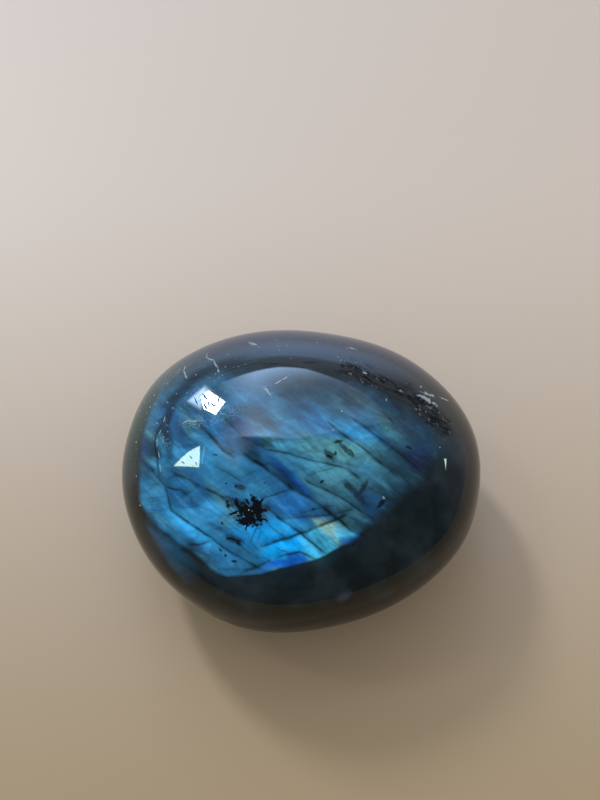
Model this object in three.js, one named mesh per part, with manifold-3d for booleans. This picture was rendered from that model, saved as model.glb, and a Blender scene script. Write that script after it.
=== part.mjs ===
// A polished labradorite palm stone: one rounded, slightly flattened solid, ground by hand.
// Millimetres, +Z up. The stone rests on z = 0 with its length along X and its width along Y.
import * as THREE from "three";
import { mergeVertices } from "three/addons/utils/BufferGeometryUtils.js";
import Module from "manifold-3d";

// Driving dimensions of the finished stone
const LENGTH = 60;
const WIDTH = 53;
const CROWN_HEIGHT = 14.6; // top of the stone above its widest section
const BASE_DEPTH = 14.0; // depth that the round base would have below its widest section
const FOOT_CUT = 0.6; // how much of that depth the polished resting flat takes off

// Form of the stone
const FULLNESS = 2.15; // 2 is an ellipsoid, more is a flatter top with fuller shoulders
const LEAN = new THREE.Vector2(-0.8, 0.8); // how far the top sits off the middle
const PLAN_WAVES = [
  // gentle corners round the outline: how many, how deep against the radius, where in degrees
  { count: 3, depth: 0.022, phase: 40 },
  { count: 4, depth: 0.007, phase: 209 },
  { count: 5, depth: 0.004, phase: 225 },
  { count: 6, depth: 0.003, phase: 104 },
];
const SWELL = 0.12; // height of the low swells left by hand grinding
const SWELL_LENGTHS = [27, 31];
const SWELL_PHASES = [0.6, 1.9];
const SWELL_SLANT = { first: 0.4, second: -0.3 }; // how far each swell runs off its axis

// Facets along each edge of the icosahedron that the solid is drawn on
const EDGE_STEPS = 17;

const COLOUR = new THREE.Color(0.1, 0.17, 0.21);

// Outline radius at an azimuth, against that of a plain ellipse.
function planFactor(azimuth) {
  return PLAN_WAVES.reduce(
    (sum, { count, depth, phase }) =>
      sum + depth * Math.cos(count * azimuth - THREE.MathUtils.degToRad(phase)),
    1,
  );
}

// Height of the low swells at a point.
function swellAt({ x, y, z }) {
  const first = (x + SWELL_SLANT.first * y) / SWELL_LENGTHS[0];
  const second = (y + SWELL_SLANT.second * x + z) / SWELL_LENGTHS[1];
  return (
    SWELL *
    Math.sin(2 * Math.PI * first + SWELL_PHASES[0]) *
    Math.sin(2 * Math.PI * second + SWELL_PHASES[1])
  );
}

// The point of the stone that lies in a direction from its middle.
function surfacePoint(direction) {
  const across = Math.hypot(direction.x, direction.y);
  const up = Math.abs(direction.z);
  const fuller = (across ** FULLNESS + up ** FULLNESS) ** (-1 / FULLNESS);
  const plan = planFactor(Math.atan2(direction.y, direction.x));
  const unit = direction.clone().multiplyScalar(fuller);
  const point = new THREE.Vector3(
    (LENGTH / 2) * unit.x * plan + LEAN.x * unit.z,
    (WIDTH / 2) * unit.y * plan + LEAN.y * unit.z,
    (unit.z > 0 ? CROWN_HEIGHT : BASE_DEPTH) * unit.z,
  );
  return point.addScaledVector(direction, swellAt(point));
}

// The rounded stone, centred on its widest section, with its exact length and width.
function roundedStone() {
  const geometry = new THREE.IcosahedronGeometry(1, EDGE_STEPS - 1);
  geometry.deleteAttribute("normal");
  geometry.deleteAttribute("uv");
  const closed = mergeVertices(geometry, 1e-4);
  const places = closed.attributes.position;
  const direction = new THREE.Vector3();
  for (let i = 0; i < places.count; i++) {
    direction.fromBufferAttribute(places, i).normalize();
    places.setXYZ(i, ...surfacePoint(direction));
  }
  closed.computeBoundingBox();
  const middle = closed.boundingBox.getCenter(new THREE.Vector3());
  const size = closed.boundingBox.getSize(new THREE.Vector3());
  closed.translate(-middle.x, -middle.y, 0);
  closed.scale(LENGTH / size.x, WIDTH / size.y, 1);
  return closed;
}

const wasm = await Module();
wasm.setup();

function toSolid(geometry) {
  return new wasm.Manifold(
    new wasm.Mesh({
      numProp: 3,
      vertProperties: new Float32Array(geometry.attributes.position.array),
      triVerts: new Uint32Array(geometry.index.array),
    }),
  );
}

function toGeometry(solid) {
  const mesh = solid.getMesh();
  const geometry = new THREE.BufferGeometry();
  geometry.setAttribute(
    "position",
    new THREE.BufferAttribute(new Float32Array(mesh.vertProperties), 3),
  );
  geometry.setIndex(new THREE.BufferAttribute(new Uint32Array(mesh.triVerts), 1));
  geometry.computeVertexNormals();
  return geometry;
}

// The block that the resting flat is ground away with: everything below the foot.
function groundAway() {
  const depth = BASE_DEPTH;
  const block = new THREE.BoxGeometry(2 * LENGTH, 2 * WIDTH, depth);
  block.deleteAttribute("normal");
  block.deleteAttribute("uv");
  block.translate(0, 0, -(BASE_DEPTH - FOOT_CUT) - depth / 2);
  return mergeVertices(block);
}

function polishedStone() {
  const shape = toSolid(roundedStone()).subtract(toSolid(groundAway()));
  const stone = new THREE.Mesh(
    toGeometry(shape),
    new THREE.MeshStandardMaterial({ color: COLOUR, roughness: 0.08, metalness: 0.1 }),
  );
  stone.name = "labradorite";
  stone.position.z = BASE_DEPTH - FOOT_CUT;
  return stone;
}

const object = new THREE.Group();
object.add(polishedStone());

export default object;
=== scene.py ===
# %% [markdown]
# A polished labradorite palm stone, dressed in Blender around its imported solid.
# The real thing is one piece of feldspar. Its polish is clear as glass, its body is nearly black, and thin
# layers a little below the polish throw back blue light. Dark cleavage lines and black flecks break up that
# flash.
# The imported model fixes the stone's size and place, so it is loaded first and nothing is fitted afterwards.

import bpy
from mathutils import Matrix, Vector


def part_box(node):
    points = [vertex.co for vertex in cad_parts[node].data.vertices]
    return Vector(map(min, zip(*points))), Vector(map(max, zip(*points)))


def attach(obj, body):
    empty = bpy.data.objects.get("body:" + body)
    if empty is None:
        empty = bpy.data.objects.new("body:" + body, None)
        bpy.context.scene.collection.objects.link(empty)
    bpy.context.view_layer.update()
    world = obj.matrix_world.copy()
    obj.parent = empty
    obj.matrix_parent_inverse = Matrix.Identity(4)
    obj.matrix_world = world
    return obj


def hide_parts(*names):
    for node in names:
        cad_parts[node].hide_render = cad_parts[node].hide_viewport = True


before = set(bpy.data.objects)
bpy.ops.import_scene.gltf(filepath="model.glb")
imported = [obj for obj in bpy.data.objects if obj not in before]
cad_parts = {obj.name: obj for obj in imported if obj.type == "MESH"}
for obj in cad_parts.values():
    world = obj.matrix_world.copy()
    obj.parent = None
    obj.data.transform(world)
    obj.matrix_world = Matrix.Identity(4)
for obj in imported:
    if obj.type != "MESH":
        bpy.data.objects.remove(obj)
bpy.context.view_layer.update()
low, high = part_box("labradorite")
print("The solid spans, in metres:", tuple(high - low))

# %% What the rest of the lesson imports
import math

import bpy
from mathutils import Euler, Vector
from mathutils.bvhtree import BVHTree

MM = 0.001
scene = bpy.context.scene

# %% [markdown]
# The camera comes first, because places on the stone are read from the photograph.
# The picture was taken from close by and from high up, so nearer edges look larger. The lens, the distance
# and the tilt are the ones at which the solid's outline covers the photographed outline.

# %% The camera
PICTURE = (600, 800)  # pixels
MIDDLE_PIXEL = (302, 469.7)  # where the stone's middle shows
BRIGHTEST_PIXEL = (295, 545)  # where the flash is brightest
LENS = 35
SENSOR = 36
VIEW_DISTANCE = 131 * MM
SIGHT_DOWN = math.radians(64)  # how steeply the line to the stone's middle falls

focal = LENS / SENSOR * max(PICTURE)  # in pixels
middle = (low + high) / 2
drop = math.atan((MIDDLE_PIXEL[1] - PICTURE[1] / 2) / focal)
aside = (PICTURE[0] / 2 - MIDDLE_PIXEL[0]) / focal * VIEW_DISTANCE
towards_camera = Vector((0, -math.cos(SIGHT_DOWN), math.sin(SIGHT_DOWN)))

camera = bpy.data.objects.new("camera", bpy.data.cameras.new("camera"))
camera.data.lens = LENS
camera.data.sensor_width = SENSOR
camera.data.clip_start = 5 * MM
camera.location = middle + towards_camera * VIEW_DISTANCE + Vector((aside, 0, 0))
camera.rotation_euler = Euler((math.pi / 2 - (SIGHT_DOWN - drop), 0, 0))
scene.collection.objects.link(camera)
scene.camera = camera
print("The camera stands at", tuple(camera.location))

# %% [markdown]
# A feature that is seen at a pixel lies where the line of sight through that pixel meets the stone.
# A bounding volume tree answers that question quickly. The flash lies in layers that face the camera, so the
# place is then given in millimetres on a flat plane through the stone's middle that faces the same way.

# %% From a pixel to the stone
def tree_of(mesh):
    """The faces of a mesh, ready to be hit by rays."""
    return BVHTree.FromPolygons([v.co for v in mesh.vertices], [tuple(p.vertices) for p in mesh.polygons])


def sight(pixel):
    """The direction in which the camera sees a pixel."""
    view = Vector((pixel[0] - PICTURE[0] / 2, PICTURE[1] / 2 - pixel[1], -focal))
    return (camera.rotation_euler.to_matrix() @ view).normalized()


solid_faces = tree_of(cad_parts["labradorite"].data)
layer_up = Vector((0, math.sin(SIGHT_DOWN), math.cos(SIGHT_DOWN)))


def on_layer(pixel):
    """The place of a pixel's feature on the layer plane, in millimetres right and up."""
    place = solid_faces.ray_cast(camera.location, sight(pixel))[0] - middle
    return Vector((place.x, place.dot(layer_up), 0)) / MM


print("The flash is brightest at", tuple(on_layer(BRIGHTEST_PIXEL)), "mm on the layer plane")

# %% [markdown]
# Both the shape and the finish are worked out by node trees, which are long to write node by node.
# This class wraps one output of a tree, so that a sum in Python adds the nodes for that sum.

# %% Sums that build nodes
class Field:
    """An output of a node tree that adds, multiplies and compares as a number or a vector does."""

    def __init__(self, socket):
        self.socket = socket
        self.tree = socket.id_data
        self.is_vector = socket.type in ("VECTOR", "RGBA")

    @staticmethod
    def node(tree, kind, settings=None, sockets=None, output=0):
        """Adds any node: its settings are set first, then the values or links of its sockets."""
        made = tree.nodes.new(kind)
        for name, value in (settings or {}).items():
            if name == "curve":
                bend_curve(made.mapping, value)
            else:
                setattr(made, name, value)
        for name, value in (sockets or {}).items():
            if isinstance(value, Field):
                tree.links.new(value.socket, made.inputs[name])
            else:
                made.inputs[name].default_value = value
        return Field(made.outputs[output])

    def worked(self, operation, *others, output=0):
        """A Math node, or a Vector Math node where one of the values is a vector."""
        parts = (self, *others)
        is_vector = any(isinstance(p, tuple) or getattr(p, "is_vector", False) for p in parts)
        kind = "ShaderNodeVectorMath" if is_vector else "ShaderNodeMath"
        sockets = {}
        for index, part in enumerate(parts):
            plain = is_vector and isinstance(part, (int, float))
            sockets[index] = (part,) * 3 if plain else part
        return Field.node(self.tree, kind, {"operation": operation}, sockets, output)

    def __add__(self, other):
        return self.worked("ADD", other)

    def __radd__(self, other):
        return self.worked("ADD", other)

    def __sub__(self, other):
        return self.worked("SUBTRACT", other)

    def __rsub__(self, other):
        return (self * -1).worked("ADD", other)

    def __mul__(self, other):
        return self.worked("MULTIPLY", other)

    def __rmul__(self, other):
        return self.worked("MULTIPLY", other)

    def __truediv__(self, other):
        return self.worked("DIVIDE", other)

    def __rtruediv__(self, other):
        return (self**-1).worked("MULTIPLY", other)

    def __pow__(self, other):
        return self.worked("POWER", other)

    def least(self, other):
        """The lesser of two numbers."""
        return self.worked("MINIMUM", other)

    def most(self, other):
        """The greater of two numbers."""
        return self.worked("MAXIMUM", other)

    def size(self):
        """A number without its sign."""
        return self.worked("ABSOLUTE")

    def dot(self, direction):
        """How far a vector reaches in a direction."""
        return self.worked("DOT_PRODUCT", tuple(direction), output=1)

    def parts(self):
        """A vector's three numbers."""
        split = Field.node(self.tree, "ShaderNodeSeparateXYZ", sockets={0: self})
        return [Field(s) for s in split.socket.node.outputs]

    def rise(self, start, end, top=1.0):
        """0 at start and top at end, with a soft turn at both; start may be the greater."""
        settings = {"interpolation_type": "SMOOTHSTEP", "clamp": False}
        sockets = {"Value": self, "From Min": start, "From Max": end, "To Max": top}
        return Field.node(self.tree, "ShaderNodeMapRange", settings, sockets)

    def curve(self, points):
        """The height of a curve through a few points, at this distance along it."""
        return Field.node(self.tree, "ShaderNodeFloatCurve", {"curve": points}, {"Value": self})


def bend_curve(mapping, points):
    """Gives a curve straight stretches between the points, which go from left to right."""
    curve = mapping.curves[0]
    curve.points[0].location = points[0]
    curve.points[1].location = points[-1]
    for point in points[1:-1]:
        curve.points.new(*point)
    for point in curve.points:
        point.handle_type = "VECTOR"
    mapping.extend = "HORIZONTAL"
    mapping.update()


def joined(x, y, z):
    """A vector from three numbers, at least one of them a Field."""
    tree = next(part.tree for part in (x, y, z) if isinstance(part, Field))
    return Field.node(tree, "ShaderNodeCombineXYZ", sockets={0: x, 1: y, 2: z})


# %% [markdown]
# The stone's shape follows a rule, so Geometry Nodes make it. It could be sculpted, but a rule keeps its
# size. A ball is stretched to the length, width and height, made a little fuller than an ellipsoid, given
# soft corners in plan and low swells from the grinding, and then ground flat underneath where it rests.
# A cube with many vertices, blown up to a ball, has evenly sized faces and no poles.

# %% The stone's sizes
STONE = {
    "length": high.x - low.x,
    "width": high.y - low.y,
    "crown": 14.6 * MM,  # height above the widest section
    "base": 14.0 * MM,  # depth of the round base below it
    "foot cut": 0.6 * MM,  # how much of that depth the resting flat takes off
    "fullness": 2.15,  # 2 is an ellipsoid
    "lean x": -0.8 * MM,  # how far the top sits off the middle
    "lean y": 0.8 * MM,
    "swell": 0.12 * MM,
}
PLAN_WAVES = [(3, 0.022, 40), (4, 0.007, 209), (5, 0.004, 225), (6, 0.003, 104)]  # count, depth, degrees
SWELL_LENGTHS = (27 * MM, 31 * MM)
SWELL_PHASES = (0.6, 1.9)
SWELL_SLANTS = (0.4, -0.3)
FINE_CUBE = {"Size": (2, 2, 2), "Vertices X": 170, "Vertices Y": 170, "Vertices Z": 60}


# %% The rule of the shape
def blown_up(tree):
    """The direction from the middle to each vertex of the cube, with the faces kept of one size."""
    corners = Field.node(tree, "GeometryNodeInputPosition") * (math.pi / 4)
    x, y, z = (part.worked("TANGENT") for part in corners.parts())
    return joined(x, y, z).worked("NORMALIZE")


def plan_factor(x, y):
    """The outline's radius against a plain ellipse's: a few soft corners."""
    azimuth = y.worked("ARCTAN2", x)
    factor = 1
    for count, depth, phase in PLAN_WAVES:
        wave = (azimuth * count - math.radians(phase)).worked("COSINE")
        factor = wave * depth + factor
    return factor


def swell_at(x, y, z):
    """The low swells that grinding by hand leaves, from -1 to 1."""
    first = (x + y * SWELL_SLANTS[0]) * (math.tau / SWELL_LENGTHS[0]) + SWELL_PHASES[0]
    second = (y + x * SWELL_SLANTS[1] + z) * (math.tau / SWELL_LENGTHS[1]) + SWELL_PHASES[1]
    return first.worked("SINE") * second.worked("SINE")


def rounded(tree, size):
    """Each vertex's place on the rounded stone, before it is centred and its foot is ground."""
    direction = blown_up(tree)
    x, y, z = direction.parts()
    full = size["fullness"]
    across = (x * x + y * y).worked("SQRT")
    fuller = (across**full + z.size() ** full) ** (-1 / full)
    unit_x, unit_y, unit_z = (direction * fuller).parts()
    plan = plan_factor(x, y)
    place_x = unit_x * plan * size["length"] * 0.5 + unit_z * size["lean x"]
    place_y = unit_y * plan * size["width"] * 0.5 + unit_z * size["lean y"]
    place_z = unit_z.most(0) * size["crown"] + unit_z.least(0) * size["base"]
    swell = swell_at(place_x, place_y, place_z) * size["swell"]
    return joined(place_x, place_y, place_z) + direction * swell


def ground(shape, size):
    """Each vertex's place once the stone has its exact length and width and its flat foot at height 0."""
    box_low = Field.node(shape.tree, "GeometryNodeBoundBox", sockets={0: shape}, output=1)
    box_high = Field(box_low.socket.node.outputs[2])
    span_x, span_y, _ = (box_high - box_low).parts()
    centre = (box_high + box_low) * (0.5, 0.5, 0)
    fit = joined(size["length"] / span_x, size["width"] / span_y, 1)
    x, y, z = ((Field.node(shape.tree, "GeometryNodeInputPosition") - centre) * fit).parts()
    foot = size["base"] - size["foot cut"]
    return joined(x, y, z.most(foot * -1) + foot)


# %% [markdown]
# Geometry Nodes end in Realize Instances and Set Material, and the evaluated result is copied into a plain
# mesh. A plain mesh is what the frame, the export and the tests understand.

# %% Make the stone
def shaped(shape, place):
    """The shape with its vertices at their new places."""
    return Field.node(shape.tree, "GeometryNodeSetPosition", sockets={"Geometry": shape, "Position": place})


def stone_tree(finish):
    """The tree that makes the stone, and the identifier of each of its named inputs."""
    tree = bpy.data.node_groups.new("ground stone", "GeometryNodeTree")
    made = tree.interface.new_socket("stone", in_out="OUTPUT", socket_type="NodeSocketGeometry")
    keys = {}
    for name in STONE:
        asked = tree.interface.new_socket(name, in_out="INPUT", socket_type="NodeSocketFloat")
        keys[name] = asked.identifier
    given = tree.nodes.new("NodeGroupInput")
    size = {name: Field(given.outputs[name]) for name in STONE}
    cube = Field.node(tree, "GeometryNodeMeshCube", sockets=FINE_CUBE)
    ball = shaped(cube, rounded(tree, size))
    stone = shaped(ball, ground(ball, size))
    smooth = Field.node(tree, "GeometryNodeSetShadeSmooth", sockets={"Geometry": stone})
    real = Field.node(tree, "GeometryNodeRealizeInstances", sockets={"Geometry": smooth})
    sockets = {"Geometry": real, "Material": finish}
    dressed = Field.node(tree, "GeometryNodeSetMaterial", sockets=sockets)
    tree.links.new(dressed.socket, tree.nodes.new("NodeGroupOutput").inputs[made.name])
    return tree, keys


def plain_mesh(name, tree, values):
    """An object whose mesh is what the tree makes from the values, with nothing left live on it."""
    holder = bpy.data.objects.new(name, bpy.data.meshes.new(name))
    scene.collection.objects.link(holder)
    modifier = holder.modifiers.new("rule", "NODES")
    modifier.node_group = tree
    for key, value in values.items():
        modifier[key] = value
    graph = bpy.context.evaluated_depsgraph_get()
    mesh = bpy.data.meshes.new_from_object(holder.evaluated_get(graph))
    holder.modifiers.remove(modifier)
    holder.data = mesh
    return holder


finish = bpy.data.materials.new("polished_labradorite")
tree, keys = stone_tree(finish)
stone = plain_mesh("palm_stone", tree, {keys[name]: value for name, value in STONE.items()})
print("The stone has", len(stone.data.polygons), "faces and spans", tuple(stone.dimensions))

# %% [markdown]
# A polished stone shows its room as a curved mirror does. The photograph's highlights are a bright window,
# a second one cut off slantwise, and a wide pale area that fades to the right.
# A lamp could be hung for each, but their shapes would be guesses. Instead each corner of a highlight is
# followed from the camera to the stone and off it again, and the sky is bright inside those directions.

# %% Where the room's windows are
stone_faces = tree_of(stone.data)


def bounced(pixel):
    """The direction in which the stone's polish mirrors the line of sight through a pixel."""
    ray = sight(pixel)
    normal = stone_faces.ray_cast(camera.location, ray)[1]
    return (ray - 2 * ray.dot(normal) * normal).normalized()


def pane(direction, corners, softness):
    """1 where a direction passes through a window, whose corners are the pixels of its highlight."""
    rays = [bounced(pixel) for pixel in corners]
    heart = sum(rays, Vector())
    inside = None
    for ray, following in zip(rays, rays[1:] + rays[:1]):
        edge = ray.cross(following).normalized()
        reach = direction.dot(edge if edge.dot(heart) > 0 else -edge)
        inside = reach if inside is None else inside.least(reach)
    return inside.rise(0, softness)


WINDOW_HEART = (209, 401)
WINDOW = [(201, 397), (208, 390), (226, 402), (216, 416), (203, 409)]
WINDOW_FRAME = [(185, 402), (206, 384), (214, 390), (202, 413)]
WINDOW_GLOW = [(180, 405), (208, 377), (236, 402), (216, 428)]
CUT_WINDOW = [(170, 467), (189, 451), (200, 444), (199, 468)]
CUT_SLIT = [(203, 446), (205, 446), (203, 464), (201, 465)]
WIDE_WINDOW = [(205, 386), (243, 370), (279, 366), (305, 366), (336, 378), (400, 420), (385, 442),
               (330, 441), (280, 442), (228, 455)]
HAZE = [(200, 452), (238, 482), (262, 440), (222, 412)]
SIDE_SLIT = [(443, 458), (446, 458), (447, 471), (445, 472)]

# %% [markdown]
# The sky holds the windows' light. The floor and the stone are lit by it, but a camera that looks past the
# stone sees a plain pale backdrop instead. The wide window is bluest low down, greyer high up, and dims
# towards its middle and its right side.
# The flash gives back light that comes from all round, where the polish mirrors a dark ceiling. So a soft
# dome reaches matt surfaces only, as a lamp that is hidden from gloss does.

# %% The soft light of the room
WINDOW_LIGHT = (60, 62, 66)
WINDOW_FRAME_LIGHT = (8.5, 11.5, 15.5)
WINDOW_GLOW_LIGHT = (2.6, 3.6, 5.4)
HAZE_LIGHT = (0.8, 0.7, 0.6)
CUT_WINDOW_LIGHT = (11.5, 14.5, 10.5)
CUT_SLIT_LIGHT = (5, 6, 5)
WIDE_LOW_LIGHT = (3.8, 6.0, 9.2)
WIDE_HIGH_LIGHT = (3.8, 4.7, 6.2)
WIDE_SHARES = [(0.45, 0.9), (0.55, 1.0), (0.66, 0.6), (0.76, 0.36), (0.84, 0.6), (0.9, 1.0)]  # by height
WALL_LIGHT = (0.42, 0.80, 1.35)
SIDE_SLIT_LIGHT = (8, 12, 10)
ROOM_LIGHT = (0.34, 0.36, 0.42)
SHADED_LIGHT = (0.08, 0.11, 0.13)  # from overhead and from the side that the picture was taken from
SKIRT_LIGHT = (0.24, 0.21, 0.16)  # from just above the floor, on the far side
DOME_LIGHT = (0.62, 0.60, 0.58)  # soft light that the polish doesn't mirror
BACKDROP = (0.62, 0.58, 0.53, 1)
PANES = [  # corners, softness of the edge, light
    (WINDOW, 0.008, WINDOW_LIGHT),
    (WINDOW_FRAME, 0.05, WINDOW_FRAME_LIGHT),
    (WINDOW_GLOW, 0.25, WINDOW_GLOW_LIGHT),
    (CUT_WINDOW, 0.008, CUT_WINDOW_LIGHT),
    (CUT_SLIT, 0.008, CUT_SLIT_LIGHT),
    (SIDE_SLIT, 0.01, SIDE_SLIT_LIGHT),
    (HAZE, 0.15, HAZE_LIGHT),
]

world = bpy.data.worlds.new("room")
world.use_nodes = True
scene.world = world
sky = world.node_tree
direction = Field.node(sky, "ShaderNodeTexCoord", output="Generated")
rightwards, away, upwards = direction.parts()


def graded(share, first, second):
    """A colour between two, where share goes from 0 to 1."""
    return share * (Vector(second) - Vector(first))[:] + first


wide_light = graded(upwards.rise(0.55, 0.85), WIDE_LOW_LIGHT, WIDE_HIGH_LIGHT)
sideways = rightwards + upwards * 0.5
wide_light = wide_light * upwards.curve(WIDE_SHARES) * (sideways.rise(0.62, 0.10, 0.84) + 0.16)
wide_light = wide_light * rightwards.rise(-0.41, -0.17)
light = graded((away - upwards * 0.6).rise(-0.4, 0.6), SHADED_LIGHT, ROOM_LIGHT)
light = light + pane(direction, WIDE_WINDOW, 0.03) * wide_light
for pane_corners, edge_softness, pane_light in PANES:
    light = light + pane(direction, pane_corners, edge_softness) * pane_light
wall = upwards.rise(0.40, 0.34) * upwards.rise(-0.1, 0.25) * away.rise(0.78, 0.95)
light = light + wall * (rightwards.size().rise(0.4, 0.05, 0.5) + 0.5) * WALL_LIGHT
light = light + upwards.rise(0.30, 0.0) * away.rise(-0.2, 0.9) * SKIRT_LIGHT
light = light + Field.node(sky, "ShaderNodeLightPath", output="Is Diffuse Ray") * DOME_LIGHT

room = Field.node(sky, "ShaderNodeBackground", sockets={"Color": light})
backdrop = Field.node(sky, "ShaderNodeBackground", sockets={"Color": BACKDROP})
seen = Field.node(sky, "ShaderNodeLightPath", output="Is Camera Ray")
whole = Field.node(sky, "ShaderNodeMixShader", sockets={0: seen, 1: room, 2: backdrop})
sky.links.new(whole.socket, sky.nodes["World Output"].inputs["Surface"])
scene.view_settings.view_transform = "Standard"
print("The window hangs towards", tuple(bounced(WINDOW_HEART)))

# %% [markdown]
# The floor is plain and pale, with a painted shade that darkens it towards the front. Its warm tone matters,
# because the stone's rim mirrors it.

# %% The floor
FLOOR_REACH = 1.5
FLOOR_BACK = (0.525, 0.425, 0.350, 1)
FLOOR_FRONT_SHADE = (0.310, 0.208, 0.100, 1)
FLOOR_ROUGHNESS = 0.55

corners = [(-1, -1), (1, -1), (1, 1), (-1, 1)]
floor_mesh = bpy.data.meshes.new("floor")
floor_mesh.from_pydata([(x * FLOOR_REACH, y * FLOOR_REACH, 0) for x, y in corners], [], [(0, 1, 2, 3)])
floor = bpy.data.objects.new("floor", floor_mesh)
scene.collection.objects.link(floor)
floor_finish = bpy.data.materials.new("pale_floor")
floor_finish.use_nodes = True
paint = floor_finish.node_tree.nodes["Principled BSDF"]
spot = Field.node(floor_finish.node_tree, "ShaderNodeTexCoord", output="Object").parts()
# painted shade: the floor goes from its pale back colour to a darker, shaded colour towards the front
sockets = {0: spot[1].rise(-0.09, 0.09), 6: FLOOR_FRONT_SHADE, 7: FLOOR_BACK}
shaded_floor_tone = Field.node(floor_finish.node_tree, "ShaderNodeMix", {"data_type": "RGBA"}, sockets, output=2)
floor_finish.node_tree.links.new(shaded_floor_tone.socket, paint.inputs["Base Color"])
paint.inputs["Roughness"].default_value = FLOOR_ROUGHNESS
floor.data.materials.append(floor_finish)

# %% [markdown]
# The finish starts from places. Every place on the stone is put on the layer plane, in millimetres, and
# shifted a little by noise so that no line is straight and no edge is even.

# %% Places for the finish
WOBBLE = 0.25  # mm
WOBBLE_SCALE = 0.3  # per mm
JITTER = 0.06  # mm
JITTER_SCALE = 1.4  # per mm
LONG_ANGLE = -37  # degrees at which most cleavage lines run
CROSS_ANGLE = 13
DOWN_ANGLE = -85

finish.use_nodes = True
recipe = finish.node_tree


def mapped(where, location=(0, 0, 0), angle=0, scale=(1, 1, 1)):
    """A place as seen from another origin, at another angle and in other units."""
    turn = (0, 0, math.radians(angle))
    sockets = {"Vector": where, "Location": location, "Rotation": turn, "Scale": scale}
    return Field.node(recipe, "ShaderNodeMapping", {"vector_type": "TEXTURE"}, sockets)


def noise(where, scale=1.0, detail=2.0, output=0):
    """Cloudy noise, its mean at one half."""
    sockets = {"Vector": where, "Scale": scale, "Detail": detail}
    return Field.node(recipe, "ShaderNodeTexNoise", sockets=sockets, output=output)


def mixed(share, first, second):
    """A colour between two; each may be a Field or a plain colour."""
    sockets = {0: share, 6: first, 7: second}
    return Field.node(recipe, "ShaderNodeMix", {"data_type": "RGBA"}, sockets, output=2)


object_place = Field.node(recipe, "ShaderNodeTexCoord", output="Object")
sockets = {"Vector": object_place - tuple(middle), "Scale": (1 / MM,) * 3}
sockets["Rotation"] = (SIGHT_DOWN - math.pi / 2, 0, 0)
layered = Field.node(recipe, "ShaderNodeMapping", sockets=sockets)
height = layered.parts()[2]
front = height.rise(0.0, 2.0)  # the markings stay on the side that the photograph shows

even = layered * (1, 1, 0)
bent = even + (noise(even, WOBBLE_SCALE, output=1) - 0.5) * (2 * WOBBLE, 2 * WOBBLE, 0)
flat = bent + (noise(even, JITTER_SCALE, 3.0, output=1) - 0.5) * (2 * JITTER, 2 * JITTER, 0)

# %% [markdown]
# Cleavage lines run in families, and each family measures places along and across its own direction.
# A seam is one line. Seen in its family's direction it is a curve, so it needs only its height at each
# distance along. The same distance also gives how strongly it shows, so that it fades out at its ends.

# %% Seams
REACH = 80  # mm that the curves' range of 0 to 1 spans
LINE_TAPER = 0.014  # of that range


class Family:
    """Cleavage lines that run in one direction across the layer plane."""

    def __init__(self, angle):
        turn = math.radians(angle)
        self.along = Vector((math.cos(turn), math.sin(turn), 0))
        self.across = Vector((-math.sin(turn), math.cos(turn), 0))
        self.run = flat.dot(self.along) / REACH + 0.5
        self.rise = flat.dot(self.across) / REACH + 0.5

    def seam(self, pixels):
        """How far above a seam each place is, in mm, and how strongly the seam shows there."""
        places = [on_layer(pixel) for pixel in pixels]
        points = sorted((p.dot(self.along) / REACH + 0.5, p.dot(self.across) / REACH + 0.5) for p in places)
        gap = (self.rise - self.run.curve(points)) * REACH
        start, end = points[0][0], points[-1][0]
        taper = min(LINE_TAPER, (end - start) / 3)
        ends = [(start, 0), (start + taper, 1), (end - taper, 1), (end, 0)]
        return gap, self.run.curve(ends)


LONG = Family(LONG_ANGLE)
CROSS = Family(CROSS_ANGLE)
DOWN = Family(DOWN_ANGLE)


def left_by(family, lines, kept=1):
    """How much of the flash is left after a family's seams."""
    for pixels, width, depth, shade_width, shade_depth in lines:
        gap, strength = family.seam(pixels)
        line = gap.size().rise(width * 1.6, 0, depth * 0.85) * strength
        shade = gap.rise(shade_width + 0.7, 0, shade_depth * 1.5) * gap.rise(-0.6, 0.1) * strength
        kept = (1 - line) * (1 - shade) * kept
    return kept


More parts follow.
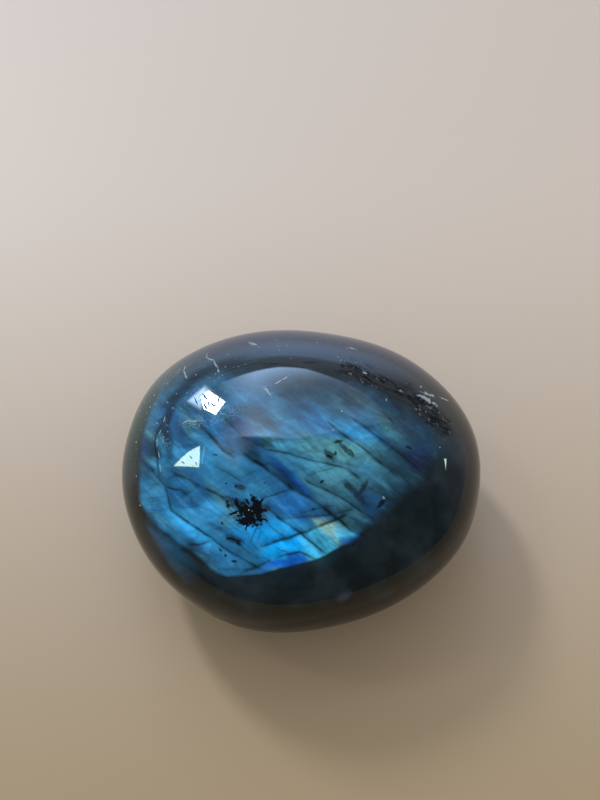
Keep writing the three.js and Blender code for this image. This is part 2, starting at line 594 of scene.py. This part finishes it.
# %% The seams of the photograph
# pixels along the seam, half width in mm, depth, width in mm of the shade above it, depth of that shade
LONG_SEAMS = [
    ([(241, 451), (255, 461), (273, 473), (291, 487), (310, 498), (329, 512), (340, 520), (350, 529),
      (368, 538)], 0.22, 0.9, 1.1, 0.5),
    ([(262, 503), (268, 508), (280, 519), (294, 529), (300, 532), (312, 543), (318, 548), (328, 554)],
     0.19, 0.9, 0.9, 0.35),
    ([(262, 449), (272, 450), (290, 454), (310, 460), (330, 464), (340, 467), (345, 468), (358, 477),
      (363, 480)], 0.18, 0.8, 0.8, 0.3),
    ([(303, 478), (312, 484), (330, 491), (345, 500), (365, 513), (378, 522)], 0.18, 0.75, 1.4, 0.35),
    ([(325, 419), (335, 427), (346, 436), (360, 446), (368, 452), (385, 466), (400, 478)],
     0.17, 0.8, 1.0, 0.25),
    ([(349, 416), (363, 426), (380, 439), (392, 448), (408, 460), (424, 474)], 0.16, 0.7, 1.2, 0.25),
    ([(377, 409), (387, 416), (397, 426)], 0.14, 0.7, 0.6, 0.1),
    ([(371, 456), (384, 463), (400, 475), (412, 488)], 0.14, 0.5, 0.8, 0.2),
    ([(366, 485), (378, 492), (390, 500), (402, 507)], 0.14, 0.5, 0.8, 0.2),
    ([(198, 422), (205, 430), (212, 438), (224, 450), (236, 458)], 0.24, 0.8, 1.2, 0.35),
    ([(223, 416), (231, 424), (240, 434), (250, 441)], 0.18, 0.7, 0.8, 0.2),
    ([(170, 470), (177, 475), (190, 480), (204, 488), (220, 495), (230, 503)], 0.26, 0.85, 0.7, 0.25),
    ([(212, 463), (222, 470), (236, 478), (244, 483)], 0.12, 0.5, 0.5, 0.15),
    ([(262, 467), (270, 473), (280, 480), (292, 490)], 0.12, 0.45, 0.5, 0.1),
    ([(148, 465), (155, 474), (161, 480), (165, 486), (172, 489), (181, 490), (189, 497)],
     0.2, 0.8, 0.5, 0.2),
    ([(161, 480), (165, 486), (168, 495), (169, 503), (171, 510), (181, 517), (192, 525), (203, 532),
      (213, 539), (222, 547), (243, 559), (263, 570)], 0.2, 0.9, 1.8, 0.3),
    ([(178, 547), (190, 552), (196, 558), (210, 570)], 0.34, 0.85, 0.7, 0.3),
    ([(160, 532), (168, 536), (178, 546)], 0.2, 0.5, 0.5, 0.2),
    ([(272, 545), (280, 550), (290, 553)], 0.14, 0.7, 0.4, 0.1),
    ([(315, 537), (322, 545), (330, 553)], 0.1, 0.5, 0.3, 0.05),
    ([(320, 535), (330, 543), (340, 549)], 0.1, 0.5, 0.3, 0.05),
    ([(328, 537), (338, 545), (347, 551)], 0.1, 0.5, 0.3, 0.05),
    ([(222, 533), (234, 541), (246, 550), (262, 560)], 0.12, 0.35, 0.6, 0.1),
    ([(262, 520), (275, 530), (288, 541)], 0.1, 0.4, 0.3, 0.1),
]
CROSS_SEAMS = [
    ([(258, 546), (265, 545), (284, 539), (303, 532), (315, 528), (332, 521), (350, 512)],
     0.22, 0.9, 0.5, 0.35),
    ([(272, 559), (285, 555), (300, 552), (310, 556), (318, 559)], 0.18, 0.85, 0.3, 0.2),
    ([(240, 571), (256, 567), (272, 559)], 0.14, 0.6, 0.3, 0.2),
    ([(258, 499), (270, 496), (280, 492), (292, 489)], 0.16, 0.7, 0.5, 0.2),
    ([(275, 519), (300, 517), (328, 515), (356, 508)], 0.2, 0.6, 0.8, 0.3),
    ([(296, 514), (318, 508), (340, 504)], 0.14, 0.4, 0.6, 0.2),
    ([(143, 499), (151, 498), (162, 496)], 0.12, 0.6, 0.3, 0.1),
    ([(144, 502), (152, 501), (163, 499)], 0.1, 0.5, 0.3, 0.1),
    ([(150, 485), (156, 484), (162, 482)], 0.12, 0.6, 0.3, 0.1),
    ([(143, 509), (155, 510), (170, 509)], 0.12, 0.4, 0.4, 0.1),
    ([(185, 545), (200, 544), (213, 541)], 0.16, 0.7, 0.4, 0.2),
    ([(181, 509), (190, 507), (204, 503)], 0.14, 0.5, 0.4, 0.1),
    ([(176, 500), (186, 494), (196, 490)], 0.12, 0.4, 0.4, 0.1),
    ([(162, 482), (172, 477), (184, 474)], 0.12, 0.5, 0.4, 0.1),
    ([(240, 478), (250, 473), (260, 470)], 0.12, 0.4, 0.5, 0.1),
    ([(303, 478), (318, 472), (338, 467)], 0.12, 0.45, 0.5, 0.1),
    ([(282, 492), (296, 487), (306, 485)], 0.12, 0.5, 0.5, 0.1),
    ([(238, 574), (250, 570), (262, 567)], 0.16, 0.6, 0.4, 0.1),
]
DOWN_SEAMS = [
    ([(166, 416), (161, 424), (156, 437), (155, 447), (157, 459), (158, 471), (160, 480)],
     0.2, 0.8, 0.5, 0.1),
    ([(258, 524), (254, 533), (250, 546)], 0.12, 0.5, 0.4, 0.1),
    ([(262, 526), (259, 537), (256, 548)], 0.1, 0.4, 0.3, 0.1),
]
print("The photograph shows", len(LONG_SEAMS + CROSS_SEAMS + DOWN_SEAMS), "seams")

# %% [markdown]
# The flash is blue over most of the crown and turns teal, sky blue or cobalt in patches. Each patch is a
# soft oval that pulls the colour towards its own. The places are pushed to and fro along the cleavage by
# fine noise first, so that the patches fray into fibres.

# %% Colours of the flash
STEEL = (0.023, 0.150, 0.292, 1)
TEAL = (0.072, 0.250, 0.300, 1)
CYAN = (0.048, 0.240, 0.375, 1)
MINT = (0.090, 0.300, 0.370, 1)
SKY = (0.040, 0.290, 0.560, 1)
AZURE = (0.003, 0.310, 0.760, 1)
ELECTRIC = (0.001, 0.400, 1.0, 1)
COBALT = (0.001, 0.110, 0.520, 1)
DEEP = (0.004, 0.055, 0.210, 1)
NAVY = (0.011, 0.022, 0.075, 1)
SLATE = (0.014, 0.048, 0.075, 1)
FOG = (0.055, 0.105, 0.115, 1)
MOSS = (0.012, 0.040, 0.040, 1)
SAGE = (0.120, 0.360, 0.330, 1)
SAND = (0.340, 0.480, 0.350, 1)
GREEN = (0.085, 0.290, 0.235, 1)
BRIGHT = (0.040, 0.370, 0.720, 1)
ICE = (0.065, 0.560, 0.880, 1)

# pixel, half length and half width in mm, turn in degrees, colour, share
PATCHES = [
    ((148, 448), 6, 3.0, 80, SLATE, 1.0),
    ((152, 490), 5, 2.0, 80, CYAN, 0.5),
    ((151, 521), 3, 1.4, -50, SLATE, 0.7),
    ((189, 429), 5.5, 3.0, -30, SLATE, 0.85),
    ((202, 556), 4.5, 1.3, -40, SLATE, 0.8),
    ((178, 500), 5, 2.2, -80, DEEP, 0.35),
    ((188, 480), 5, 1.5, -37, DEEP, 0.35),
    ((212, 452), 5, 3, -40, SKY, 0.6),
    ((232, 462), 4, 2.5, 10, CYAN, 0.6),
    ((198, 500), 3, 1.6, 8, DEEP, 0.25),
    ((205, 513), 5, 1.9, 8, SKY, 0.9),
    ((192, 527), 6, 1.8, -35, BRIGHT, 0.9),
    ((206, 539), 4.0, 1.3, -35, BRIGHT, 1.0),
    ((243, 548), 5, 2.4, -35, SKY, 0.8),
    ((234, 438), 4, 2.4, -45, SLATE, 0.5),
    ((222, 500), 6, 1.2, -45, TEAL, 0.7),
    ((236, 528), 4, 1.2, -37, TEAL, 0.6),
    ((200, 404), 6, 3.6, 0, SLATE, 0.55),
    ((250, 420), 6, 3.6, 0, SLATE, 0.9),
    ((232, 557), 5, 2, -30, SKY, 0.5),
    ((245, 470), 5, 3, -37, STEEL, 0.6),
    ((295, 453), 6, 2.2, -15, CYAN, 0.9),
    ((320, 447), 6, 2.6, -20, TEAL, 0.9),
    ((345, 452), 5, 3, 0, MINT, 0.9),
    ((341, 448), 2.4, 1.6, -20, GREEN, 0.5),
    ((350, 396), 5, 2.6, -30, FOG, 0.9),
    ((340, 409), 6, 1.6, -30, FOG, 0.5),
    ((370, 413), 5, 1.4, -35, FOG, 0.6),
    ((418, 443), 5, 2.4, -37, SLATE, 0.8),
    ((392, 446), 4, 1.4, -37, SLATE, 0.5),
    ((358, 432), 5, 1.8, -37, SKY, 0.65),
    ((358, 436), 2.4, 1.2, -20, SKY, 0.5),
    ((385, 428), 5, 2.0, -37, TEAL, 0.6),
    ((384, 424), 5, 3.0, -37, SLATE, 0.3),
    ((402, 424), 5, 2.0, -37, FOG, 0.6),
    ((380, 460), 6, 2.5, -37, TEAL, 0.7),
    ((404, 466), 6, 5, -37, SLATE, 0.9),
    ((420, 462), 4, 3, -37, NAVY, 0.95),
    ((340, 478), 7, 3, -20, TEAL, 0.8),
    ((330, 498), 6, 2.4, -30, TEAL, 0.6),
    ((384, 500), 7, 4.5, -37, SLATE, 0.9),
    ((360, 520), 5, 2, -30, SLATE, 0.85),
    ((285, 472), 5.5, 1.1, -38, DEEP, 0.9),
    ((302, 487), 3, 0.8, -38, COBALT, 0.5),
    ((250, 449), 3, 2, -38, MOSS, 0.9),
    ((262, 442), 5, 1.0, 5, MOSS, 0.8),
    ((262, 488), 5, 1.6, -37, STEEL, 0.5),
    ((290, 505), 4, 2.5, -10, COBALT, 0.35),
    ((250, 535), 5, 2.5, 5, AZURE, 0.75),
    ((276, 530), 5, 2.0, 10, AZURE, 1.0),
    ((282, 527), 3, 1.0, 10, BRIGHT, 0.5),
    ((292, 545), 5.5, 2.0, 12, ELECTRIC, 1.0),
    ((268, 553), 3, 1.2, 10, AZURE, 0.8),
    ((286, 562), 5, 1.1, 8, COBALT, 1.0),
    ((336, 533), 4.0, 2.6, -20, SAGE, 0.95),
    ((330, 531), 3.0, 1.5, -30, SAND, 0.85),
    ((320, 546), 4.2, 2.8, -45, ICE, 1.0),
    ((347, 536), 2.4, 1.6, -10, ICE, 0.75),
    ((354, 541), 2.4, 1.2, 10, COBALT, 0.8),
]
FRAY = 2.0  # mm

# %% The flash's own texture
strokes = noise(mapped(flat, angle=LONG_ANGLE, scale=(7.0, 1.8, 1)), 1.0, 2.0)
fibres = noise(mapped(flat, (5, 9, 0), LONG_ANGLE, (3.0, 0.45, 1)), 1.0, 2.0)
frayed = flat + (strokes - 0.5) * (2 * FRAY * LONG.along)[:]


class Sheet:
    """The layer plane, on which ovals can lie at any angle."""

    ANGLE_STEP = 15

    def __init__(self, places):
        self.places = places
        self.turned = {}

    def oval(self, centre, angle, length, width):
        """Each place's distance from an oval's middle, 1 on its edge; the angle is rounded to a step."""
        step = round(angle / self.ANGLE_STEP)
        turn = math.radians(step * self.ANGLE_STEP)
        along = Vector((math.cos(turn), math.sin(turn), 0))
        across = Vector((-math.sin(turn), math.cos(turn), 0))
        if step not in self.turned:
            self.turned[step] = joined(self.places.dot(along), self.places.dot(across), 0)
        offset = (-centre.dot(along) / length, -centre.dot(across) / width, 0)
        near = self.turned[step].worked("MULTIPLY_ADD", (1 / length, 1 / width, 0), offset)
        return near.worked("LENGTH", output=1)


def patched():
    """The colour of the flash at full strength."""
    sheet = Sheet(frayed)
    colour = STEEL
    for pixel, length, width, turn, other, share in PATCHES:
        near = sheet.oval(on_layer(pixel), turn, length, width)
        colour = mixed(near.rise(1.1, 0.3, share), colour, other)
    return colour


def cells(where, output, feature="F1"):
    """Patches with straight sides, each with its own random value."""
    settings = {"voronoi_dimensions": "2D", "feature": feature}
    return Field.node(recipe, "ShaderNodeTexVoronoi", settings, {"Vector": where, "Scale": 1.0}, output)


def hairlines(angle, length, width):
    """Thin broken lines that run at an angle."""
    ridge = (noise(mapped(flat, angle=angle, scale=(length, width, 1)), 1.0, 2.0) - 0.5).size()
    return ridge.rise(0.035, 0.0)


lamella = cells(mapped(bent, (3, 1, 0), LONG_ANGLE, (7.0, 2.4, 1)), "Color").parts()
SLAB_ANGLE = 22
slabs = cells(mapped(bent, (2, 5, 0), SLAB_ANGLE, (3.4, 1.5, 1)), "Color").parts()[2]
shine = (lamella[0] * 0.4 + 0.85) * (slabs * 0.3 + 0.85)
shine = shine * (strokes.rise(0.3, 0.7, 0.4) + 0.8) * (fibres * 0.2 + 0.9)
shine = shine * (1 - hairlines(LONG_ANGLE, 16.0, 3.0) * 0.22)
shine = shine * (1 - hairlines(CROSS_ANGLE, 12.0, 4.0) * 0.15)
shine = shine * (noise(flat, 1.3, 4.0) * 0.5 + 0.75)

# %% [markdown]
# The flash ends where its layers do. A curve of height against distance gives each edge, and every edge
# has its own softness. A dimmer slab of layers shows beyond the sharp edge at the lower left, and a trace
# of blue reaches a little past it everywhere. The seams are then taken out of what is left.

# %% The flash's reach
LOWER_EDGE = [(128, 496), (141, 507), (148, 519), (158, 529), (170, 538), (180, 546), (192, 552), (204, 563),
              (213, 572), (226, 577), (263, 575), (279, 569), (306, 563), (320, 558), (335, 550), (349, 544),
              (359, 538), (374, 524), (398, 503), (424, 477), (440, 458), (458, 448)]
SOFTNESS_ROW = 500
# pixel in that row, softness in mm of the lower edge there
LOWER_SOFTNESS = [(128, 0.8), (206, 0.8), (225, 0.5), (335, 0.4), (361, 1.2), (385, 4.5), (450, 5)]
LEFT_EDGE = [(160, 392), (151, 408), (146, 424), (142, 440), (140, 460), (139, 480), (140, 500), (146, 515)]
SLAB_EDGE = [(138, 510), (150, 535), (160, 552), (172, 569), (185, 583), (200, 592)]
SLAB_SHARE = 0.33
UPPER_EDGE = [(140, 426), (156, 404), (177, 392), (205, 384), (235, 388), (262, 392), (300, 407), (340, 399),
              (370, 404), (405, 426), (430, 446), (455, 470)]
UPPER_SOFTNESS = 5.5  # mm


def rim_of_flash(pixels, side):
    """How far inside an edge of the flash each place is, in mm."""
    edge = [(p.x / REACH + 0.5, p.y / REACH + 0.5) for p in map(on_layer, pixels)]
    return (up - right.curve(edge)) * (REACH * side)


right, up, _ = (flat / REACH + 0.5).parts()
soft_points = [(on_layer((x, SOFTNESS_ROW)).x / REACH + 0.5, width / 10) for x, width in LOWER_SOFTNESS]
softness = right.curve(soft_points) * 10
above = rim_of_flash(LOWER_EDGE, 1)
ragged = (noise(flat, 0.35, 3.0) - 0.5) * 5.0
below = rim_of_flash(UPPER_EDGE, -1) + ragged
left_gap, _ = DOWN.seam(LEFT_EDGE)
inside = left_gap.rise(-0.5, 0.7) * below.rise(-UPPER_SOFTNESS, UPPER_SOFTNESS)
inside = inside * even.parts()[0].rise(27, 21)
slab = rim_of_flash(SLAB_EDGE, 1).rise(-0.5, 1.2, SLAB_SHARE) * even.parts()[0].rise(-14, -20)
trace = (above + ragged).rise(-4.0, 1.0, 0.05)
reach = inside * (above / softness).rise(-0.3, 1.0).most(slab).most(trace) * front
kept = left_by(DOWN, DOWN_SEAMS, left_by(CROSS, CROSS_SEAMS, left_by(LONG, LONG_SEAMS)))
uneven = noise(flat, 0.35, 2.0).rise(0.3, 0.6, 0.4) + 0.6
clear = reach * (1 - (1 - kept) * uneven)
tinted = mixed(strokes.rise(0.5, 0.8, 0.45), patched(), TEAL)
tinted = mixed(lamella[1].rise(0.6, 0.9, 0.14), tinted, COBALT)
flash = tinted * clear * shine
print("The flash's lower edge starts at", tuple(on_layer(LOWER_EDGE[0])), "mm on the layer plane")

# %% [markdown]
# Black flecks lie in the stone and white bruises on it. Each is drawn as a few strokes, and noise moves the
# strokes' edge in and out, so that they end in points and crumbs.

# %% Flecks and bruises
# pixel, pixel, half width in mm
CLUSTER = [
    ((243, 510), (260, 512), 0.6), ((254, 501), (259, 508), 0.55), ((243, 521), (252, 517), 0.5),
    ((246, 508), (252, 523), 0.65), ((256, 508), (260, 520), 0.45), ((240, 520), (247, 525), 0.3),
    ((231, 513), (242, 511), 0.2), ((252, 497), (255, 503), 0.25), ((235, 503), (242, 509), 0.28),
    ((258, 512), (265, 510), 0.2), ((258, 504), (263, 500), 0.16), ((258, 518), (266, 521), 0.14),
    ((249, 518), (247, 528), 0.16), ((238, 516), (244, 514), 0.16), ((248, 504), (246, 499), 0.14),
]
FLECKS = [
    ((238, 542), (240, 544), 0.38), ((226, 537), (236, 541), 0.2), ((225, 555), (225, 556), 0.2),
    ((232, 561), (236, 561), 0.2), ((222, 522), (223, 523), 0.15), ((264, 483), (265, 483), 0.1),
    ((313, 509), (314, 509), 0.16), ((321, 482), (323, 481), 0.2), ((335, 442), (341, 441), 0.28),
    ((335, 452), (335, 455), 0.22), ((406, 447), (411, 448), 0.2), ((214, 455), (217, 455), 0.14),
    ((226, 484), (227, 484), 0.14), ((236, 485), (235, 487), 0.14), ((379, 506), (384, 500), 0.42),
    ((327, 455), (331, 457), 0.2), ((350, 449), (353, 454), 0.12), ((352, 545), (353, 546), 0.1),
    ((227, 500), (228, 507), 0.25), ((236, 499), (238, 501), 0.25), ((219, 549), (221, 551), 0.14),
    ((224, 373), (240, 367), 0.08), ((240, 367), (262, 363), 0.08), ((262, 363), (280, 364), 0.1),
    ((296, 366), (306, 369), 0.12), ((302, 362), (318, 363), 0.14), ((343, 366), (352, 367), 0.4),
]
STAINS = [
    ((236, 502), (258, 516), 0.9), ((252, 512), (266, 508), 0.7), ((240, 518), (258, 524), 0.7),
    ((228, 498), (238, 505), 0.5), ((228, 506), (236, 503), 0.35), ((238, 486), (243, 487), 0.45),
    ((345, 484), (354, 491), 0.5), ((353, 491), (366, 502), 0.5), ((366, 482), (361, 495), 0.35),
    ((228, 537), (240, 542), 0.5), ((327, 453), (333, 458), 0.5), ((341, 444), (352, 456), 0.35),
]
BRUISES = [
    ((208, 351), (206, 357), 0.1), ((207, 357), (213, 361), 0.12), ((213, 361), (218, 368), 0.13),
    ((218, 368), (219, 373), 0.1), ((185, 366), (184, 371), 0.09), ((184, 371), (187, 379), 0.1),
    ((247, 340), (252, 345), 0.16), ((251, 343), (257, 345), 0.14), ((349, 347), (356, 349), 0.12),
    ((265, 386), (271, 395), 0.1), ((272, 385), (281, 380), 0.08), ((281, 380), (288, 376), 0.06),
    ((420, 396), (434, 403), 0.3), ((424, 393), (432, 396), 0.2), ((165, 417), (163, 423), 0.06),
    ((161, 429), (159, 436), 0.06), ((158, 441), (157, 447), 0.06), ((158, 452), (159, 457), 0.05),
    ((160, 466), (161, 471), 0.05), ((383, 497), (384, 498), 0.16), ((181, 424), (188, 420), 0.08),
    ((440, 398), (447, 400), 0.1), ((420, 386), (422, 388), 0.1), ((265, 388), (270, 393), 0.06),
    ((188, 420), (201, 421), 0.08), ((364, 372), (367, 374), 0.1), ((386, 399), (387, 401), 0.08),
]
# pixels of single pale specks
SPECKS = [
    (157, 398), (145, 402), (138, 416), (140, 410), (179, 370), (196, 375), (168, 384), (155, 404),
    (136, 442), (136, 476), (167, 446), (168, 432), (140, 505), (386, 428), (440, 447), (317, 343),
    (341, 360), (249, 510), (252, 511), (238, 512), (333, 430), (342, 411), (396, 440), (347, 348),
    (338, 357), (163, 441), (157, 423),
]
SPECK_SIZE = 0.11  # half width in mm
SCUFFS = [
    ((203, 394), (208, 399), 0.15), ((204, 403), (207, 409), 0.15), ((211, 403), (216, 406), 0.14),
    ((220, 396), (218, 402), 0.13), ((207, 411), (212, 414), 0.12), ((190, 456), (192, 458), 0.12),
    ((200, 400), (208, 396), 0.1), ((208, 399), (210, 406), 0.12), ((214, 393), (213, 397), 0.1),
    ((194, 398), (198, 404), 0.1), ((182, 462), (184, 463), 0.1), ((196, 462), (197, 464), 0.1),
]
CRACKLED = [((198, 394), (216, 410), 1.6), ((192, 422), (236, 412), 1.3), ((163, 420), (166, 446), 0.8)]
# a dark arc along the left and far side of the crown
ARC = [
    ((169, 452), (166, 425), 0.7), ((166, 425), (172, 402), 0.8), ((172, 402), (190, 382), 0.9),
    ((190, 382), (212, 367), 0.9), ((212, 367), (240, 361), 0.8),
]
crumbs = (noise(flat, 2.4, 5.0) - 0.5) * 1.6

paper = Sheet(flat)


def stroked(drawn):
    """Each place's distance from the nearest of the strokes drawn, 1 on its edge."""
    nearest = None
    for start, end, half_width in drawn:
        first, second = on_layer(start), on_layer(end)
        run = second - first
        angle = math.degrees(math.atan2(run.y, run.x))
        near = paper.oval((first + second) / 2, angle, run.length / 2 + half_width, half_width)
        nearest = near if nearest is None else nearest.least(near)
    return nearest


flecks = (stroked(FLECKS) + crumbs * 0.6).rise(1.3, 0.6, 0.85)
black = (stroked(CLUSTER) + crumbs * 1.5).rise(1.3, 0.9).most(flecks)
stain = (stroked(STAINS) + crumbs).rise(1.5, 0.5, 0.8)
white = (stroked(BRUISES) + crumbs * 2.6).rise(1.3, 0.6, 0.6)
specks = stroked([(pixel, pixel, SPECK_SIZE) for pixel in SPECKS]) + crumbs * 2.6
white = white.most(specks.rise(1.0, 0.3, 0.8))
scuffed = (stroked(SCUFFS) + crumbs).rise(1.2, 0.8)

# %% [markdown]
# At the far right the stone is bruised in a ragged band of dark pits and crushed white grains. A fine net of
# crazing shows beside the bright window, and pale dust sits in the pores of the left and far rim.

# %% Bruised bands
BAND_ANGLE = -32
FAR_LEFT = (-0.6, 1, 0)
MOTTLED = [(338, 362), (362, 373), (377, 380), (390, 386), (405, 394), (419, 403), (432, 413), (452, 434)]
crazed = flat * 1.3 + (noise(flat, 0.9, 3.0, output=1) - 0.5) * (2.4, 2.4, 0)
net = cells(crazed, "Distance", feature="DISTANCE_TO_EDGE").rise(0.08, 0.0) * strokes.rise(0.35, 0.55)
net = net * (stroked(CRACKLED) + crumbs * 0.5).rise(1.3, 0.7)
scuffed = scuffed.most(net * 0.7)
white = white.most(net * 0.4)
gap, strength = LONG.seam(MOTTLED)
band = (gap + ragged * 0.9).size().rise(2.8, 0.2) * strength
grain = mapped(flat, angle=BAND_ANGLE, scale=(1.3, 0.5, 1))
streaks = noise(mapped(flat, angle=BAND_ANGLE, scale=(3.0, 0.5, 1)), 1.0, 8.0)
pits = band * (noise(grain, 0.6, 8.0) * 0.6 + streaks * 0.4).rise(0.45, 0.56)
black = black.most(pits * 0.9)
scuffed = scuffed.most(pits * 0.6)
crushed = noise(flat + (7, 3, 0), 1.5, 8.0) * 0.6 + streaks * 0.4
white = white.most(band * crushed.rise(0.56, 0.66, 0.45))
dust = noise(flat, 1.9, 3.0).rise(0.66, 0.73)
leaning = even.dot(FAR_LEFT).rise(14, 26, 0.8)
white = white.most(dust * leaning)

# %% [markdown]
# Everything comes together in one Principled shader. The colours go to its base, which is matt and has no
# gloss of its own. The polish is its coat, and it is missing where the surface is bruised or scuffed.

# %% Put the finish together
BODY = (0.0055, 0.0085, 0.0085, 1)
BODY_CLOUD = (0.020, 0.028, 0.033, 1)
# the rim colours mix the stone's own tone with painted light: a painted teal reflection on the left and a
# painted shade on the near side
RIM_LEFT_REFLECTION = (0.024, 0.056, 0.052, 1)
RIM_RIGHT = (0.028, 0.027, 0.022, 1)
RIM_FAR = (0.036, 0.046, 0.075, 1)
RIM_NEAR_SHADE = (0.006, 0.015, 0.009, 1)
# a painted lilac reflection, a small spot on the near rim
LILAC_REFLECTION = (0.040, 0.048, 0.080, 1)
PAINTED_REFLECTION_PIXEL = (344, 596)
INK = (0.0015, 0.002, 0.003, 1)
STAIN = (0.008, 0.012, 0.022, 1)
BRUISE = (0.42, 0.46, 0.46, 1)
LAYER_ROUGHNESS = 0.45
POLISH_ROUGHNESS = 0.02
POLISH_IOR = 1.55

cloud = noise(layered, 0.2, 4.0).rise(0.4, 0.8)
along_x, along_y, _ = even.parts()
# painted reflection on the left rim and painted shade on the near rim, over the stone's own rim tone
rim = mixed(along_x.rise(-22, 22), RIM_LEFT_REFLECTION, RIM_RIGHT)
rim = mixed(along_y.rise(10, 24), mixed(along_y.rise(-6, -18), rim, RIM_NEAR_SHADE), RIM_FAR)
body = mixed(height.rise(9.0, 2.0), mixed(cloud, BODY, BODY_CLOUD), rim) * (1 - reach * 0.85)
body = mixed(height.rise(-1.0, -8.0), body, BODY_CLOUD)
# a painted reflection: a small lilac spot on the near rim
body = mixed(paper.oval(on_layer(PAINTED_REFLECTION_PIXEL), 30, 1.4, 0.8).rise(1.3, 0.2, 0.7), body, LILAC_REFLECTION)
arc = (stroked(ARC) + crumbs * 0.5).rise(1.8, 0.4, 0.7)
glow = (flash * (1 - band * 0.6) + body) * (1 - arc)
look = mixed(stain * front, glow, STAIN)
look = mixed(black * front, look, INK)
look = mixed(white * front, look, BRUISE)
whole_polish = 1 - (white * 0.8).most(scuffed) * front
shader = recipe.nodes["Principled BSDF"]
recipe.links.new(look.socket, shader.inputs["Base Color"])
recipe.links.new(whole_polish.socket, shader.inputs["Coat Weight"])
shader.inputs["Roughness"].default_value = LAYER_ROUGHNESS
shader.inputs["Specular IOR Level"].default_value = 0.0
shader.inputs["Coat Roughness"].default_value = POLISH_ROUGHNESS
shader.inputs["Coat IOR"].default_value = POLISH_IOR
print("The finish has", len(recipe.nodes), "nodes")

# %% Tie the stone to the frame
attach(stone, "root")
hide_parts("labradorite")
